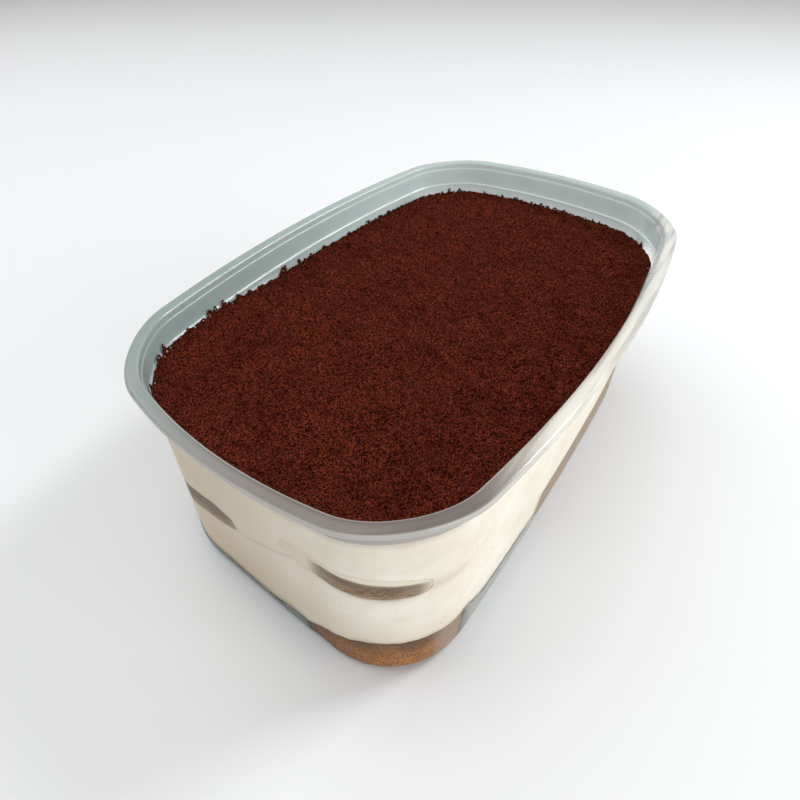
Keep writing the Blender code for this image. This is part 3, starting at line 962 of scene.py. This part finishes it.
# %% [markdown]
# ## Loose grains, tufts and crumbs
# Grains lie thickly on the powder, tufts of it cling to the wall along the edge, and a few pale crumbs of cream
# show there too. All of them are one shape repeated many times, so one tree does them: points are strewn over a
# surface, a small rough lump is set on each at its own size and turn, and everything is made real mesh.


# %% A tree that strews small lumps
def strew_tree():
    t = Shape("strew")
    lump, finish = t.ask("Lump", "Object"), t.ask("Finish", "Material")
    thick, seed = t.ask("Per square metre"), t.ask("Seed", "Int")
    small, large, long = t.ask("Smallest"), t.ask("Largest"), t.ask("Longest side")
    points, normal, turn = t.outputs("GeometryNodeDistributePointsOnFaces", None, {0: t.geometry, "Density": thick, "Seed": seed})
    free = t.node("FunctionNodeRandomValue", {"data_type": "FLOAT_VECTOR"}, {0: (0, 0, 0), 1: (0.7, 0.7, 6.283), "Seed": seed})
    leaning = t.node("FunctionNodeRotateRotation", {"rotation_space": "LOCAL"}, {0: turn, 1: free})
    size = t.node("FunctionNodeRandomValue", {"data_type": "FLOAT"}, {2: small, 3: large, "Seed": seed + 1}, out=1)
    sides = t.node("ShaderNodeCombineXYZ", None, {0: size * long, 1: size, 2: size * 0.85})
    shape = t.node("GeometryNodeObjectInfo", None, {"Object": lump}, out=4)
    placed = t.node("GeometryNodeInstanceOnPoints", None, {"Points": points, "Instance": shape, "Rotation": leaning, "Scale": sides})
    return t.done(placed, finish)


def lump_shape(name, fineness, dent, seed):
    """A rough ball of radius 1, with few faces."""
    import bmesh

    bm = bmesh.new()
    bmesh.ops.create_icosphere(bm, subdivisions=fineness, radius=1.0)
    points = np.array([vert.co[:] for vert in bm.verts])
    swell = 1 + dent * rough(*points.T, 1.4, seed)
    for vert, factor in zip(bm.verts, swell):
        vert.co *= float(factor)
    mesh = bpy.data.meshes.new(name)
    bm.to_mesh(mesh)
    bm.free()
    return bpy.data.objects.new(name, mesh)


strew = strew_tree()


def strewn(name, points, faces, finish, lump, **answers):
    piece = new_piece(name, points, faces, None)
    use_tree(piece, strew, Lump=lump, Finish=finish, **answers)
    settle(piece)
    told(piece)
    return piece


grain = lump_shape("grain", 1, 0.16, 3)
top_list = top_points.tolist()
grains = strewn(
    "cocoa_grains", top_list, top_faces, cocoa_loose, grain,
    Per_square_metre=660000.0, Seed=4, Smallest=0.00011, Largest=0.00024, Longest_side=1.5,
)
clumps = strewn(
    "cocoa_clumps", top_list, top_faces, cocoa_loose, grain,
    Per_square_metre=650000.0, Seed=9, Smallest=0.00014, Largest=0.00030, Longest_side=2.0,
)

# %% Tufts and crumbs along the wall
def edge_band(rise, spikes, fall, inset, keep):
    """A narrow strip along the wall at the cocoa's edge, with spikes, where keep(x, y) is true: points and faces."""
    x, y = outline(EDGE_WALK, 0.003, COCOA_TOP)
    spike = np.clip(rough(x, y, 0.0, 0.0028, 51) - 0.25, 0, 1.5) ** 2
    low, high = edge_height - fall, edge_height + rise + spikes * spike * (0.4 + 0.6 * smooth(0.02, -0.03, x))
    rows = [np.stack([*outline(EDGE_WALK, wall_inset(z) + inset, z), z], 1) for z in (low, high)]
    kept = keep(rows[0][:, 0], rows[0][:, 1])
    total = len(EDGE_WALK)
    faces = [[step, (step + 1) % total, total + (step + 1) % total, total + step] for step in range(total) if kept[step]]
    return np.vstack(rows).tolist(), faces


def far_side(x, y):
    return (y > 0.002) | (x > 0.045) | ((x < -0.055) & (y > -0.014))


tufts = strewn(
    "cocoa_tufts", *edge_band(0.0003, 0.0010, 0.0004, 0.0002, far_side), cocoa_loose, grain,
    Per_square_metre=9000000.0, Seed=5, Smallest=0.00012, Largest=0.00030, Longest_side=1.6,
)
crumb_pale = crumb_finish()
crumbs = strewn(
    "cream_crumbs", *edge_band(0.0003, 0.0, 0.0008, 0.0004, far_side), crumb_pale, grain,
    Per_square_metre=300000.0, Seed=6, Smallest=0.00010, Largest=0.00024, Longest_side=1.4,
)

# %% [markdown]
# ## Joining the frame
# Every piece rides on the one body and stands for its solid. The scattered pieces stand on top of the cocoa.

# %% Pieces and their body
for piece, node in (
    (tub, "tub"), (sponge, "sponge_bottom"), (lower, "cream_lower"), (upper, "cream_upper"),
    (fingers[0], "ladyfinger_near"), (fingers[1], "ladyfinger_far"), (cocoa, "cocoa"),
):
    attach(piece, "root")
    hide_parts(node)
for piece, slot in ((grains, "cocoa"), (clumps, "cocoa"), (tufts, "cocoa"), (crumbs, "cream_upper")):
    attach(piece, "root")
print("pieces placed")

# %% [markdown]
# ## Floor, light and camera
# A pale floor and soft light, as on a studio table: one broad lamp from the right, which whitens the near long
# side and draws the bright lines on the rim and ledge, and one overhead for the cocoa.


# %% Floor
def floor_finish():
    f = Finish("floor")
    soft = f.noise(0.25, 1.0)
    return f.done(f.shader(Base_Color=f.mix(soft, (0.74, 0.765, 0.80), (0.76, 0.785, 0.82)), Roughness=0.8))


floor = new_piece("floor", [(-3, -3, 0), (3, -3, 0), (3, 3, 0), (-3, 3, 0)], [(0, 1, 2, 3)], floor_finish())

# %% Light
world = bpy.data.worlds.new("studio")
world.use_nodes = True
world.node_tree.nodes["Background"].inputs["Color"].default_value = (1.0, 0.955, 0.885, 1.0)
world.node_tree.nodes["Background"].inputs["Strength"].default_value = 0.42
bpy.context.scene.world = world


def lamp(name, place, aim, size, power, colour=(1, 1, 1)):
    light = bpy.data.lights.new(name, "AREA")
    light.shape, light.size, light.size_y = "RECTANGLE", *size
    light.energy, light.color = power, colour
    made = bpy.data.objects.new(name, light)
    made.location = place
    made.rotation_euler = (Vector(aim) - Vector(place)).to_track_quat("-Z", "Y").to_euler()
    bpy.context.scene.collection.objects.link(made)
    return made


lamp("window", (0.0, -0.95, 0.42), (0, 0, 0.04), (0.90, 0.60), 4.9, (1.0, 0.99, 0.98))
lamp("overhead", (-0.15, 0.55, 0.95), (0, 0.15, 0), (1.0, 1.0), 7.2)
lamp("small lamp", (0.55, -0.33, 0.72), (0, 0, 0.05), (0.22, 0.22), 3.6)
bpy.context.scene.view_settings.view_transform = "Standard"
print("lamps: 3")

# %% Camera
camera_data = bpy.data.cameras.new("camera")
camera_data.lens, camera_data.sensor_width = 24.42, 36.0
camera_data.shift_x, camera_data.shift_y = 0.0514, -0.0562
camera_data.clip_start = 0.005
camera = bpy.data.objects.new("camera", camera_data)
right, up, back = Vector((0.61813, -0.78576, -0.02238)), Vector((0.51761, 0.38543, 0.76389)), Vector((-0.59161, -0.48376, 0.64496))
camera.matrix_world = Matrix.Translation((-0.10289, -0.05820, 0.13282)) @ Matrix((right, up, back)).transposed().to_4x4()
bpy.context.scene.collection.objects.link(camera)
bpy.context.scene.camera = camera
print("camera %.0f mm from the tub's middle" % (camera.location.length * 1000))
